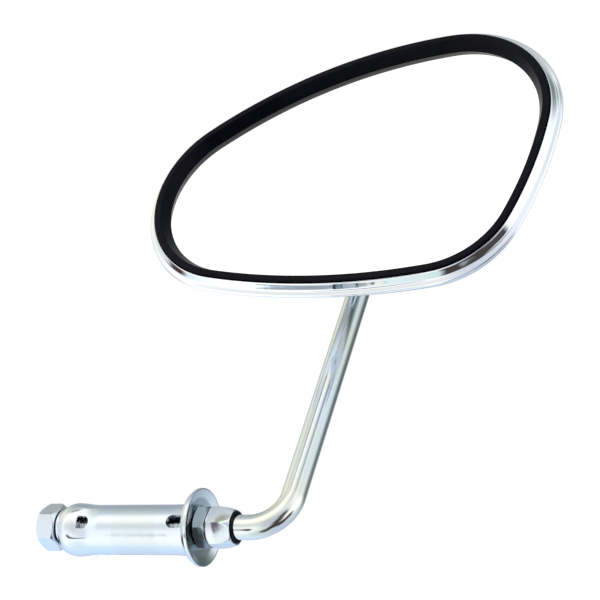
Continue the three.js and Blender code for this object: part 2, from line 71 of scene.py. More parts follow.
# ------------------------------------------------------------------ sizes, in millimetres
# The rod and its thread.
ROD_RADIUS = 4.0
THREAD_PITCH = 1.25
THREAD_DEPTH = 0.7
THREAD_RUN_IN = 1.0         # the thread reaches its full depth this far from the rod's inner end
THREAD_RUN_OUT = 2.0        # and fades out over this much inside the gland nut
END_CHAMFER = 0.35
END_CHAMFER_LENGTH = 0.6
CORNER_X = 30.5             # where the lines of the handlebar and the leg meet
BEND_RADIUS = 12.0
LEG_END_GAP = 7.2           # the rod stops this far short of the ball's centre

# The sleeve.  Starts, ends, middles, roots and tips are measured from its inner end.
SLEEVE_WALL = 1.4
SLEEVE_RADIUS = 8.1
SLEEVE_SAG = 0.8            # the loose sleeve hangs on the rod by this much
BULGE_RADIUS = 8.75
BULGE_END = 12.0
BULGE_GROWTH = 8.4          # the length over which the bulge grows
MOUTH_LENGTH = 4.2          # the inner end narrows over this length
MOUTH_DROP = 1.3
MOUTH_CLEARANCE = 6.95      # least inner radius near the mouth, so that the cone slides in
CLEARANCE_END = 5.0
FLARE_RADIUS = 8.6
FLARE_LENGTH = 7.0
SLOTS = 2
SLOT_WIDTH = 4.3
SLOT_ANGLE = math.radians(20)
WINDOW_START = 7.1          # the closed slots over the rod's thread
WINDOW_END = 11.3
OPEN_SLOT_LENGTH = 7.2      # the slots that are open at the sleeve's outer end
FLAT_MIDDLE = 9.2           # the tube is a little flatter around each window
FLAT_REACH = 6.5
FLAT_HALF_ANGLE = math.radians(38)
TANG_ANGLE = math.radians(-102)
TANG_ROOT = 15.0
TANG_TIP = 8.9
TANG_STAND_OUT = 1.35
TANG_SINK = 0.75            # its root starts this deep in the sleeve's wall
TANG_HALF_WIDTH = 1.5
TANG_THICKNESS = 0.8
BELT_START = (20.0, 21.2)   # the duller belt fades in and out between these
BELT_END = (35.5, 37.5)
BELT_TINT = 0.45            # share of the belt's own colour
BELT_ROUGHNESS = 0.05

# The cone, the washer, the seal and the nuts.
CLEAR_BORE = 4.3
CONE_TIP_RADIUS = 4.95
CONE_RADIUS = 5.9
CONE_FLANGE_RADIUS = 6.05
CONE_FLANGE_LENGTH = 1.6
WASHER_RADIUS = 12.5
WASHER_FLOOR = 1.15         # thickness at the bottom of the dish
WASHER_SPIGOT = 1.8         # reaches this far into the sleeve
SEAL_BORE = 4.1
SEAL_RADIUS = 5.15
NUT_BORE = ROD_RADIUS + 0.05
HEX_NUT_ACROSS = 13.6       # across the flats
JAM_NUT_ACROSS = 13.0
GLAND_NUT_ACROSS = 12.4
GLAND_NUT_BORE = 5.2
GLAND_HEX_LENGTH = 2.4      # its straight part, before it tapers
GLAND_CORNER_RADIUS = 7.4
HEX_NUT_TURN = math.radians(-3)
JAM_NUT_TURN = math.radians(30)
GLAND_NUT_TURN = math.radians(17)

# The head.  Depths count back from its front lip, offsets and insets are from its outline.
HEAD_TILT = math.radians(25)
BALL_DEPTH = 40.0
CORNERS = ((34.0, 9.4, 38.6), (-35.1, -12.8, 36.0), (33.9, -20.4, 31.8))  # (across, up, radius)
BOWS = (162.0, 238.0, 141.5)    # radii of the long sides between the corners
HOUSING_BACK = 18.0
SHELL_OVERHANG = 1.8
SHELL_WALL = 1.2
DOME_START = 5.0
DOME_INSET = 21.9
BACK_CROWN = 0.25
TRIM_DEPTH = 7.6
TRIM_WALL = 1.5
GLASS_INSET = 1.8
GLASS_FRONT = 4.6
GLASS_BACK = 7.2
GLASS_BEVEL = 0.35
GLASS_CROWN = 0.7           # how far its middle stands out in front of its edge
PAD_INSET = 4.3
PAD_FRONT = 7.5
PAD_BACK = 10.5
PAD_CROWN = 0.2

joints = {joint["name"]: joint for joint in frame["joints"]}
ball = Vector(joints["head_pan"]["pos_m"])
leg = Vector(joints["head_pan"]["axis"]).normalized()
leg_length = (ball - Vector((CORNER_X * MM, 0, 0))).length / MM


def span_x(node):
    """Lowest and highest x of a CAD node, in millimetres."""
    low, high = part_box(node)
    return low.x / MM, high.x / MM


# ------------------------------------------------------------------ meshes
def new_piece(name, points, faces, sharp_angle=40):
    """An object from points in millimetres.  Edges that turn by more than sharp_angle stay sharp."""
    mesh = bpy.data.meshes.new(name)
    mesh.from_pydata([Vector(p) * MM for p in points], [], faces)
    piece = bpy.data.objects.new(name, mesh)
    bpy.context.scene.collection.objects.link(piece)
    finish_mesh(piece, sharp_angle)
    return piece


def finish_mesh(piece, sharp_angle=40):
    """Merges doubles, turns the faces outwards and shades the piece smooth between its sharp edges."""
    cloth = bmesh.new()
    cloth.from_mesh(piece.data)
    bmesh.ops.remove_doubles(cloth, verts=cloth.verts, dist=1e-7)
    bmesh.ops.dissolve_degenerate(cloth, edges=cloth.edges, dist=1e-8)
    bmesh.ops.recalc_face_normals(cloth, faces=cloth.faces)
    limit = math.radians(sharp_angle)
    for edge in cloth.edges:
        edge.smooth = len(edge.link_faces) == 2 and edge.calc_face_angle(0) < limit
    for face in cloth.faces:
        face.smooth = True
    cloth.to_mesh(piece.data)
    cloth.free()
    piece.data.update()


def grid_faces(rows, columns, close_rows=False):
    """Quads of a grid whose columns close on themselves, and whose rows may."""
    faces = []
    for i in range(rows if close_rows else rows - 1):
        for j in range(columns):
            a, b = i * columns + j, i * columns + (j + 1) % columns
            below = ((i + 1) % rows) * columns
            faces.append((a, b, below + (j + 1) % columns, below + j))
    return faces


def fillet(profile, steps=5):
    """A profile of (a, b, radius) corners with each corner rounded; returns (a, b) points.  Closed."""
    points = []
    count = len(profile)
    for i, (a, b, radius) in enumerate(profile):
        here = Vector((a, b))
        before = Vector(profile[i - 1][:2]) - here
        after = Vector(profile[(i + 1) % count][:2]) - here
        if radius <= 0 or before.length < 1e-6 or after.length < 1e-6:
            points.append(here)
            continue
        half = before.angle(after) / 2
        reach = min(radius / math.tan(half), before.length * 0.49, after.length * 0.49)
        first, last = here + before.normalized() * reach, here + after.normalized() * reach
        for k in range(steps + 1):
            t = k / steps
            points.append(first * (1 - t) ** 2 + here * 2 * t * (1 - t) + last * t * t)
    return points


def turned(name, profile, sides=96, steps=5, sharp_angle=35):
    """A turned piece about X from a closed profile of (x, radius, fillet)."""
    rounded = fillet(profile, steps)
    points = []
    for x, radius in rounded:
        for j in range(sides):
            angle = TURN * j / sides
            points.append((x, radius * math.cos(angle), radius * math.sin(angle)))
    return new_piece(name, points, grid_faces(len(rounded), sides, True), sharp_angle)


def hexed(name, stations, across, bore, turn, bow=1.0, sides=180, softness=0.18):
    """A hexagonal piece about X, flat at both ends.

    The stations are (x, radius of a round envelope), and may carry the hexagon's share of its full
    size as a third value.  The envelope trims the corners, which gives a nut's curved chamfer lines.
    A bow under 1 keeps the corners lower, so that the flats look a little rounder.
    """
    def hexagon(angle):
        sixth = (angle % (TURN / 6)) - TURN / 12
        return across / 2 / math.cos(sixth * bow)

    def soft_min(a, b):
        gap = abs(a - b)
        blend = max(0.0, softness - gap) ** 2 / (4 * softness)
        return min(a, b) - blend

    points = []
    for x, envelope, *share in [(stations[0][0], bore), *stations, (stations[-1][0], bore)]:
        for j in range(sides):
            angle = TURN * j / sides
            radius = max(bore, soft_min(hexagon(angle) * (share[0] if share else 1), envelope))
            out = angle + turn + TURN / 12
            points.append((x, radius * math.cos(out), radius * math.sin(out)))
    return new_piece(name, points, grid_faces(len(stations) + 2, sides, True), 28)


def arc_stations(x0, x1, low, high, share, steps=10):
    """Envelope radii for a chamfer at both ends of a nut from x0 to x1: low at the faces, high inside."""
    run = (x1 - x0) * share
    stations = [(x0 + run * k / steps, low + (high - low) * k / steps) for k in range(steps + 1)]
    middle = [(x0 + run + (x1 - x0 - 2 * run) * k / 6, high) for k in range(1, 6)]
    return stations + middle + [(x0 + x1 - x, radius) for x, radius in reversed(stations)]


def cut(piece, *cutters):
    """Takes the cutters out of the piece, applies the result and removes them."""
    for cutter in cutters:
        boolean = piece.modifiers.new("cut", "BOOLEAN")
        boolean.operation = "DIFFERENCE"
        boolean.solver = "EXACT"
        boolean.object = cutter
    apply_modifiers(piece)
    for cutter in cutters:
        bpy.data.objects.remove(cutter)


def apply_modifiers(piece):
    graph = bpy.context.evaluated_depsgraph_get()
    mesh = bpy.data.meshes.new_from_object(piece.evaluated_get(graph))
    piece.modifiers.clear()
    piece.data = mesh


def paint(mesh, material):
    mesh.materials.clear()
    mesh.materials.append(material)


def place(piece, body, node, material):
    """The piece rides on its body, stands for its CAD node and takes its material."""
    paint(piece.data, material)
    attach(piece, body)
    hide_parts(node)


# ------------------------------------------------------------------ head outline
def bow_centre(first, second, radius):
    """Centre of the arc of a radius that both corner arcs touch from the inside."""
    to_first, to_second = radius - first[2], radius - second[2]
    dx, dy = second[0] - first[0], second[1] - first[1]
    apart = math.hypot(dx, dy)
    along = (to_first**2 - to_second**2 + apart**2) / (2 * apart)
    aside = math.sqrt(to_first**2 - along**2)
    return first[0] + (dx * along - dy * aside) / apart, first[1] + (dy * along + dx * aside) / apart


def outline_frame(spacing=1.5):
    """The outline as (centre, angle, radius) samples: three corners joined by three bowed sides."""
    samples = []
    centres = [bow_centre(CORNERS[i], CORNERS[(i + 1) % 3], BOWS[i]) for i in range(3)]

    def add_arc(centre, radius, start, end):
        while end < start:
            end += TURN
        steps = max(3, round(radius * (end - start) / spacing))
        for k in range(steps):
            samples.append((Vector(centre), start + (end - start) * k / steps, radius))

    def angle(centre, corner):
        return math.atan2(corner[1] - centre[1], corner[0] - centre[0])

    for i, corner in enumerate(CORNERS):
        before, after, following = centres[i - 1], centres[i], CORNERS[(i + 1) % 3]
        add_arc(corner[:2], corner[2], angle(before, corner), angle(after, corner))
        add_arc(after, BOWS[i], angle(after, corner), angle(after, following))
    return samples


OUTLINE = outline_frame()
HEAD_NORMAL = Vector((0, -math.cos(HEAD_TILT), math.sin(HEAD_TILT)))
HEAD_ACROSS = Vector((1, 0, 0))
HEAD_UP = Vector((0, math.sin(HEAD_TILT), math.cos(HEAD_TILT)))
HEAD_MIDDLE = Vector((0.0, -4.0))


def head_point(across, up, depth):
    """A point of the head in millimetres of the row frame; depth counts back from the front lip."""
    return ball / MM + HEAD_ACROSS * across + HEAD_UP * up + HEAD_NORMAL * (BALL_DEPTH - depth)


def head_pole(depth):
    return head_point(HEAD_MIDDLE.x, HEAD_MIDDLE.y, depth)


def head_ring(offset, depth, share=1.0, crown=0.0):
    """The outline moved out by offset, shrunk towards its middle to a share, at a depth.

    A crown moves the middle back by that much, and the edge not at all.
    """
    ring = []
    for centre, angle, radius in OUTLINE:
        flat = centre + Vector((math.cos(angle), math.sin(angle))) * (radius + offset)
        flat = HEAD_MIDDLE.lerp(flat, share)
        ring.append(head_point(flat.x, flat.y, depth + crown * (1 - share * share)))
    return ring


def lofted(name, rings, close=False, first_pole=None, last_pole=None, sharp_angle=35):
    """A skin over rings of equal length, with a pole at either end where one is given."""
    columns = len(rings[0])
    points = [point for ring in rings for point in ring]
    faces = grid_faces(len(rings), columns, close)
    if first_pole is not None:
        points.append(first_pole)
        pole = len(points) - 1
        faces += [(pole, (j + 1) % columns, j) for j in range(columns)]
    if last_pole is not None:
        points.append(last_pole)
        pole, start = len(points) - 1, (len(rings) - 1) * columns
        faces += [(pole, start + j, start + (j + 1) % columns) for j in range(columns)]
    return new_piece(name, points, faces, sharp_angle)


# ------------------------------------------------------------------ materials
FIRST_COLOUR, SECOND_COLOUR, MIXED_COLOUR = 6, 7, 2     # a Mix node's sockets for colours


def node_material(name, colour, metallic, roughness):
    material = bpy.data.materials.new(name)
    material.use_nodes = True
    material.diffuse_color = (*colour, 1)
    nodes, links = material.node_tree.nodes, material.node_tree.links
    shader = nodes["Principled BSDF"]
    shader.inputs["Metallic"].default_value = metallic
    shader.inputs["Roughness"].default_value = roughness
    shader.inputs["Base Color"].default_value = (*colour, 1)
    place_node = nodes.new("ShaderNodeTexCoord")
    return material, nodes, links, shader, place_node.outputs["Object"]


def add_noise(nodes, links, where, scale, detail=3.0, roughness=0.55):
    texture = nodes.new("ShaderNodeTexNoise")
    texture.inputs["Scale"].default_value = scale
    texture.inputs["Detail"].default_value = detail
    texture.inputs["Roughness"].default_value = roughness
    links.new(where, texture.inputs["Vector"])
    return texture.outputs["Fac"]


def add_ramp(nodes, links, source, stops):
    ramp = nodes.new("ShaderNodeValToRGB")
    elements = ramp.color_ramp.elements
    while len(elements) < len(stops):
        elements.new(0.5)
    for element, (position, colour) in zip(elements, stops):
        element.position = position
        element.color = (*colour, 1)
    links.new(source, ramp.inputs["Fac"])
    return ramp.outputs["Color"]


def add_range(nodes, links, source, low, high, out_low, out_high):
    remap = nodes.new("ShaderNodeMapRange")
    remap.inputs["From Min"].default_value = low
    remap.inputs["From Max"].default_value = high
    remap.inputs["To Min"].default_value = out_low
    remap.inputs["To Max"].default_value = out_high
    links.new(source, remap.inputs["Value"])
    return remap.outputs["Result"]


def add_bump(nodes, links, shader, height, distance, strength=1.0):
    bump = nodes.new("ShaderNodeBump")
    bump.inputs["Strength"].default_value = strength
    bump.inputs["Distance"].default_value = distance
    links.new(height, bump.inputs["Height"])
    links.new(bump.outputs["Normal"], shader.inputs["Normal"])


def math_node(nodes, links, operation, first, second):
    node = nodes.new("ShaderNodeMath")
    node.operation = operation
    for socket, value in zip(node.inputs, (first, second)):
        if isinstance(value, (int, float)):
            socket.default_value = value
        else:
            links.new(value, socket)
    return node.outputs[0]


def add_mix(nodes, links, share, source, tint):
    """The source's colour with a share of the tint over it."""
    mix = nodes.new("ShaderNodeMix")
    mix.data_type = "RGBA"
    links.new(share, mix.inputs["Factor"])
    links.new(source, mix.inputs[FIRST_COLOUR])
    mix.inputs[SECOND_COLOUR].default_value = (*tint, 1)
    return mix.outputs[MIXED_COLOUR]


def zinc_material(name, warm, cool, rough_low, rough_high):
    """Bright zinc plate: a cool metal with faint warm clouds, a fine grain in its shine and low waves."""
    material, nodes, links, shader, where = node_material(name, cool, 1.0, rough_low)
    clouds = add_noise(nodes, links, where, 55, 2.5)
    links.new(add_ramp(nodes, links, clouds, [(0.36, cool), (0.66, warm)]), shader.inputs["Base Color"])
    grain = add_noise(nodes, links, where, 700, 3.0, 0.6)
    links.new(add_range(nodes, links, grain, 0.3, 0.7, rough_low, rough_high), shader.inputs["Roughness"])
    waves = add_noise(nodes, links, where, 160, 2.0)
    add_bump(nodes, links, shader, waves, 0.00002)
    return material


def sleeve_material():
    """Zinc plate with a duller, faintly greenish belt around the middle of the tube."""
    material = zinc_material("zinc_sleeve", (0.79, 0.82, 0.84), (0.77, 0.84, 0.93), 0.10, 0.19)
    nodes, links = material.node_tree.nodes, material.node_tree.links
    shader = next(node for node in nodes if node.type == "BSDF_PRINCIPLED")
    place_node = nodes.new("ShaderNodeTexCoord")
    split = nodes.new("ShaderNodeSeparateXYZ")
    links.new(place_node.outputs["Object"], split.inputs[0])
    inner, _ = span_x("expander_sleeve")
    start_low, start_high = ((inner + x) * MM for x in BELT_START)
    end_low, end_high = ((inner + x) * MM for x in BELT_END)
    start = add_range(nodes, links, split.outputs[0], start_low, start_high, 0, 1)
    end = add_range(nodes, links, split.outputs[0], end_low, end_high, 1, 0)
    belt = math_node(nodes, links, "MULTIPLY", start, end)
    colour = shader.inputs["Base Color"].links[0].from_socket
    share = math_node(nodes, links, "MULTIPLY", belt, BELT_TINT)
    links.new(add_mix(nodes, links, share, colour, (0.74, 0.78, 0.74)), shader.inputs["Base Color"])
    rough = shader.inputs["Roughness"].links[0].from_socket
    extra = math_node(nodes, links, "MULTIPLY", belt, BELT_ROUGHNESS)
    links.new(math_node(nodes, links, "ADD", rough, extra), shader.inputs["Roughness"])
    return material


def chrome_material():
    material, nodes, links, shader, where = node_material("chrome", (0.93, 0.93, 0.94), 1.0, 0.05)
    clouds = add_noise(nodes, links, where, 30, 2.0)
    tint = add_ramp(nodes, links, clouds, [(0.35, (0.93, 0.935, 0.95)), (0.7, (0.95, 0.94, 0.93))])
    links.new(tint, shader.inputs["Base Color"])
    haze = add_noise(nodes, links, where, 400, 4.0, 0.65)
    links.new(add_range(nodes, links, haze, 0.35, 0.7, 0.035, 0.085), shader.inputs["Roughness"])
    swell = add_noise(nodes, links, where, 45, 1.5)
    add_bump(nodes, links, shader, swell, 0.00003)
    return material


def rubber_material():
    material, nodes, links, shader, where = node_material("black_rubber", (0.004, 0.0045, 0.006), 0.0, 0.32)
    clouds = add_noise(nodes, links, where, 90, 3.0)
    tint = add_ramp(nodes, links, clouds, [(0.35, (0.0016, 0.0016, 0.0036)), (0.7, (0.004, 0.004, 0.0085))])
    links.new(tint, shader.inputs["Base Color"])
    grain = add_noise(nodes, links, where, 900, 3.0)
    links.new(add_range(nodes, links, grain, 0.3, 0.7, 0.26, 0.38), shader.inputs["Roughness"])
    shader.inputs["Specular IOR Level"].default_value = 0.07
    add_bump(nodes, links, shader, grain, 0.00006, 0.5)
    return material


def mirror_material():
    material, nodes, links, shader, where = node_material("mirror_glass", (0.97, 0.975, 0.98), 1.0, 0.015)
    clouds = add_noise(nodes, links, where, 12, 1.0)
    tint = add_ramp(nodes, links, clouds, [(0.3, (0.968, 0.974, 0.98)), (0.7, (0.975, 0.978, 0.98))])
    links.new(tint, shader.inputs["Base Color"])
    links.new(add_range(nodes, links, clouds, 0.3, 0.7, 0.01, 0.02), shader.inputs["Roughness"])
    return material


def steel_material():
    material, nodes, links, shader, where = node_material("plain_steel", (0.56, 0.57, 0.58), 1.0, 0.35)
    clouds = add_noise(nodes, links, where, 120, 4.0, 0.6)
    tint = add_ramp(nodes, links, clouds, [(0.3, (0.48, 0.48, 0.49)), (0.7, (0.62, 0.62, 0.62))])
    links.new(tint, shader.inputs["Base Color"])
    links.new(add_range(nodes, links, clouds, 0.3, 0.7, 0.28, 0.45), shader.inputs["Roughness"])
    add_bump(nodes, links, shader, add_noise(nodes, links, where, 800), 0.00003)
    return material


def nylon_material():
    material, nodes, links, shader, where = node_material("nylon", (0.78, 0.77, 0.71), 0.0, 0.45)
    clouds = add_noise(nodes, links, where, 200, 2.0)
    tint = add_ramp(nodes, links, clouds, [(0.3, (0.72, 0.71, 0.65)), (0.7, (0.82, 0.81, 0.76))])
    links.new(tint, shader.inputs["Base Color"])
    links.new(add_range(nodes, links, clouds, 0.3, 0.7, 0.4, 0.55), shader.inputs["Roughness"])
    return material


def foam_material():
    material, nodes, links, shader, where = node_material("grey_foam", (0.12, 0.12, 0.125), 0.0, 0.95)
    cells = nodes.new("ShaderNodeTexVoronoi")
    cells.inputs["Scale"].default_value = 1400
    links.new(where, cells.inputs["Vector"])
    shades = [(0.1, (0.05, 0.05, 0.055)), (0.6, (0.16, 0.16, 0.165))]
    tint = add_ramp(nodes, links, cells.outputs["Distance"], shades)
    links.new(tint, shader.inputs["Base Color"])
    add_bump(nodes, links, shader, cells.outputs["Distance"], 0.0003, 0.7)
    return material


zinc = zinc_material("zinc_plate", (0.80, 0.82, 0.82), (0.78, 0.85, 0.94), 0.12, 0.20)
zinc_sleeve = sleeve_material()
zinc_rod = zinc_material("zinc_rod", (0.84, 0.83, 0.75), (0.79, 0.84, 0.88), 0.10, 0.17)
# A darker copy of the zinc plate for the jam nut: its colour is painted shade, standing in for the dark
# washer dish that its flats mirror
zinc_painted_shade = zinc_material("zinc_painted_shade", (0.36, 0.41, 0.42), (0.28, 0.36, 0.42), 0.16, 0.26)
chrome = chrome_material()
rubber = rubber_material()
mirror = mirror_material()
steel = steel_material()
nylon = nylon_material()
foam = foam_material()


# ------------------------------------------------------------------ expander clamp
def build_hex_nut():
    x0, x1 = span_x("expander_hex_nut")
    stations = arc_stations(x0, x1, 6.45, 8.0, 0.16)
    nut = hexed("expander_hex_nut", stations, HEX_NUT_ACROSS, NUT_BORE, HEX_NUT_TURN)
    place(nut, "carriage", "expander_hex_nut", zinc)


def build_cone():
    x0, x1 = span_x("expander_cone")
    flange = x0 + CONE_FLANGE_LENGTH
    cone = turned("expander_cone", [
        (x0, CLEAR_BORE, 0.2), (x1, CLEAR_BORE, 0.1), (x1, CONE_TIP_RADIUS, 0.3),
        (flange + 0.3, CONE_RADIUS, 0.6), (flange, CONE_FLANGE_RADIUS, 0.1), (x0, CONE_FLANGE_RADIUS, 0.35),
    ])
    place(cone, "carriage", "expander_cone", zinc)


def sleeve_profile(x, inner, outer):
    """Outer radius of the sleeve at x."""
    from_inner, from_outer = x - inner, outer - x
    radius = SLEEVE_RADIUS
    if from_inner < BULGE_END:
        swell = math.sin(math.pi / 2 * min(1, (BULGE_END - from_inner) / BULGE_GROWTH)) ** 2
        radius += (BULGE_RADIUS - SLEEVE_RADIUS) * swell
    if from_inner < MOUTH_LENGTH:
        radius -= MOUTH_DROP * (1 - from_inner / MOUTH_LENGTH) ** 1.9
    if from_outer < FLARE_LENGTH:
        radius += (FLARE_RADIUS - SLEEVE_RADIUS) * (1 - from_outer / FLARE_LENGTH) ** 1.6
    return radius


def build_sleeve():
    inner, outer = span_x("expander_sleeve")
    rows, columns = 150, 144

    def radius_at(x, angle, wall):
        radius = sleeve_profile(x, inner, outer)
        for i in range(SLOTS):
            away = abs((angle - SLOT_ANGLE - TURN * i / SLOTS + math.pi) % TURN - math.pi)
            from_middle = abs(x - inner - FLAT_MIDDLE)
            if away < FLAT_HALF_ANGLE and from_middle < FLAT_REACH:
                fade = 0.5 + 0.5 * math.cos(math.pi * from_middle / FLAT_REACH)
                flat = math.cos(FLAT_HALF_ANGLE) / math.cos(away)
                radius *= 1 - (1 - flat) * 0.5 * fade
        if wall and x - inner < CLEARANCE_END:
            return max(radius - wall, MOUTH_CLEARANCE)
        return radius - wall

    stations = [inner + (outer - inner) * k / (rows - 1) for k in range(rows)]
    rings = [(x, 0.0) for x in stations] + [(x, SLEEVE_WALL) for x in reversed(stations)]
    points = []
    for x, wall in rings:
        for j in range(columns):
            angle = TURN * j / columns
            radius = radius_at(x, angle, wall)
            points.append((x, -radius * math.cos(angle), radius * math.sin(angle)))
    sleeve = new_piece("expander_sleeve", points, grid_faces(len(rings), columns, True), 50)
    cutters = []
    for i in range(SLOTS):
        angle = SLOT_ANGLE + TURN * i / SLOTS
        cutters.append(slot_cutter(inner + WINDOW_START, inner + WINDOW_END, angle, True))
        cutters.append(slot_cutter(outer - OPEN_SLOT_LENGTH, outer + 2, angle, False))
    cut(sleeve, *cutters)
    finish_mesh(sleeve, 32)
    add_tang(sleeve, inner)
    sleeve.data.transform(Matrix.Translation((0, 0, -SLEEVE_SAG * MM)))
    place(sleeve, "clamp", "expander_sleeve", zinc_sleeve)


def slot_cutter(x0, x1, angle, round_high):
    """Cutter for a slot from x0 to x1 at an angle; one end is round, and it starts inside the bore."""
    half = SLOT_WIDTH / 2
    steps = 14
    towards = 1 if round_high else -1
    round_end, flat_end = (x1, x0) if round_high else (x0, x1)
    outline = []
    for k in range(steps + 1):
        turn = math.pi * k / steps
        outline.append((round_end - towards * half + towards * half * math.sin(turn), half * math.cos(turn)))
    outline += [(flat_end, -half), (flat_end, half)]
    count = len(outline)
    around = Matrix.Rotation(-angle, 3, "X")
    near, far = 2.0, 12.0
    points = [around @ Vector((x, -near, z)) for x, z in outline]
    points += [around @ Vector((x, -far, z)) for x, z in outline]
    faces = [tuple(range(count)), tuple(range(2 * count - 1, count - 1, -1))]
    faces += [(j, j + count, (j + 1) % count + count, (j + 1) % count) for j in range(count)]
    return new_piece("slot_cutter", points, faces)


def add_tang(sleeve, inner):
    """The punched tang under the sleeve, its free tip towards the inner end."""
    root_x, tip_x = inner + TANG_ROOT, inner + TANG_TIP
    turn = Matrix.Rotation(-TANG_ANGLE, 3, "X")
    steps = 8
    columns = []
    for k in range(steps + 1):
        t = k / steps
        x = root_x + (tip_x - root_x) * t
        half = TANG_HALF_WIDTH * (1 - 0.55 * t * t)
        near = SLEEVE_RADIUS - TANG_SINK + TANG_STAND_OUT * t**1.4
        far = near + TANG_THICKNESS
        columns.append([(x, -near, -half), (x, -near, half), (x, -far, half), (x, -far, -half)])
    points = [turn @ Vector(p) for column in columns for p in column]
    faces = grid_faces(len(columns), 4) + [(3, 2, 1, 0), tuple(len(points) - 4 + k for k in range(4))]
    tang = new_piece("tang", points, faces)
    merge(sleeve, tang)


def merge(piece, *others):
    """Joins other pieces' meshes into the piece as they are."""
    whole = bmesh.new()
    whole.from_mesh(piece.data)
    for other in others:
        whole.from_mesh(other.data)
        bpy.data.objects.remove(other)
    whole.to_mesh(piece.data)
    whole.free()


def build_washer():
    _, front = span_x("bar_end_washer")
    washer = turned("bar_end_washer", [
        (-WASHER_SPIGOT, CLEAR_BORE, 0.1), (WASHER_FLOOR, CLEAR_BORE, 0.1), (WASHER_FLOOR, 7.2, 1.2),
        (1.45, 9.6, 3.0), (front - 0.1, 11.95, 0.2), (front, WASHER_RADIUS, 0.25), (1.5, WASHER_RADIUS, 0.3),
        (0, 11.4, 0.5), (0, 6.6, 0.1), (-WASHER_SPIGOT, 6.2, 0.2),
    ], sides=144, steps=8, sharp_angle=30)
    place(washer, "clamp", "bar_end_washer", zinc)


def build_jam_nut():
    x0, x1 = span_x("jam_nut")
    nut = hexed("jam_nut", arc_stations(x0, x1, 6.2, 7.7, 0.2), JAM_NUT_ACROSS, NUT_BORE, JAM_NUT_TURN)
    # The jam nut takes the darker zinc, whose colour is painted shade
    place(nut, "nuts", "jam_nut", zinc_painted_shade)


def build_gland_nut():
    """A nut that is chamfered at x0, straight for a while, and tapers to a round face at x1."""
    x0, x1 = span_x("gland_nut")
    corner = GLAND_CORNER_RADIUS
    chamfer, straight = x0 + 0.7, x0 + GLAND_HEX_LENGTH
    stations = [(x0, 6.5), (x0 + 0.35, 6.85), (chamfer, corner)]
    stations += [(chamfer + (straight - chamfer) * k / 5, corner) for k in range(1, 6)]
    for k in range(1, 21):
        t = k / 20
        fall = t**1.35
        stations.append((straight + (x1 - 0.25 - straight) * t, corner - 1.55 * fall, 1 - 0.11 * fall))
    stations += [(x1 - 0.1, 5.75, 0.885), (x1, 5.6, 0.87)]
    nut = hexed("gland_nut", stations, GLAND_NUT_ACROSS, GLAND_NUT_BORE, GLAND_NUT_TURN, 0.93)
    place(nut, "nuts", "gland_nut", zinc)


def build_seal_ring():
    x0, x1 = span_x("rod_seal_ring")
    ring = turned("rod_seal_ring", [
        (x0, SEAL_BORE, 0.1), (x1, SEAL_BORE, 0.25), (x1, SEAL_RADIUS, 0.4), (x0, SEAL_RADIUS, 0.2),
    ])
    place(ring, "nuts", "rod_seal_ring", rubber)


def rod_stations():
    """The rod's centre line as (centre, direction, x), dense on the thread; x is None off the thread."""
    start, _ = span_x("stem_rod")
    bend_start = CORNER_X - BEND_RADIUS
    thread_end = span_x("gland_nut")[0] + THREAD_RUN_OUT
    along_bar = Vector((1, 0, 0))
    stations = []
    per_pitch, straight_steps, bend_steps, leg_steps = 10, 8, 28, 40
    count = round((thread_end - start) / (THREAD_PITCH / per_pitch))
    for k in range(count + 1):
        x = start + (thread_end - start) * k / count
        stations.append((along_bar * x, along_bar, x))
    for k in range(1, straight_steps + 1):
        x = thread_end + (bend_start - thread_end) * k / straight_steps
        stations.append((along_bar * x, along_bar, None))
    middle = along_bar * bend_start + leg * BEND_RADIUS
    for k in range(1, bend_steps + 1):
        turn = math.pi / 2 * k / bend_steps
        centre = middle + along_bar * BEND_RADIUS * math.sin(turn) - leg * BEND_RADIUS * math.cos(turn)
        stations.append((centre, along_bar * math.cos(turn) + leg * math.sin(turn), None))
    corner = along_bar * CORNER_X
    end = leg_length - LEG_END_GAP
    for k in range(1, leg_steps + 1):
        reach = BEND_RADIUS + (end - BEND_RADIUS) * k / leg_steps
        stations.append((corner + leg * reach, leg, None))
    return stations, start, thread_end


def build_rod():
    sides = 64
    stations, start, thread_end = rod_stations()
    side = Vector((1, 0, 0)).cross(leg).normalized()
    points = []
    for centre, along, x in stations:
        other = along.cross(side)
        for j in range(sides):
            angle = TURN * j / sides
            radius = ROD_RADIUS
            if x is not None:
                phase = (x / THREAD_PITCH - j / sides) % 1
                wave = 0.5 - 0.5 * math.cos(TURN * phase)
                fade = min(1, (x - start) / THREAD_RUN_IN, (thread_end - x) / THREAD_RUN_OUT)
                radius -= THREAD_DEPTH * wave**0.8 * max(0, fade)
                radius -= END_CHAMFER * max(0, 1 - (x - start) / END_CHAMFER_LENGTH)
            points.append(centre + (side * math.cos(angle) + other * math.sin(angle)) * radius)
    faces = grid_faces(len(stations), sides)
    count = len(points)
    faces += [tuple(range(sides - 1, -1, -1)), tuple(range(count - sides, count))]
    rod = new_piece("stem_rod", points, faces, 50)
    place(rod, "stem", "stem_rod", zinc_rod)


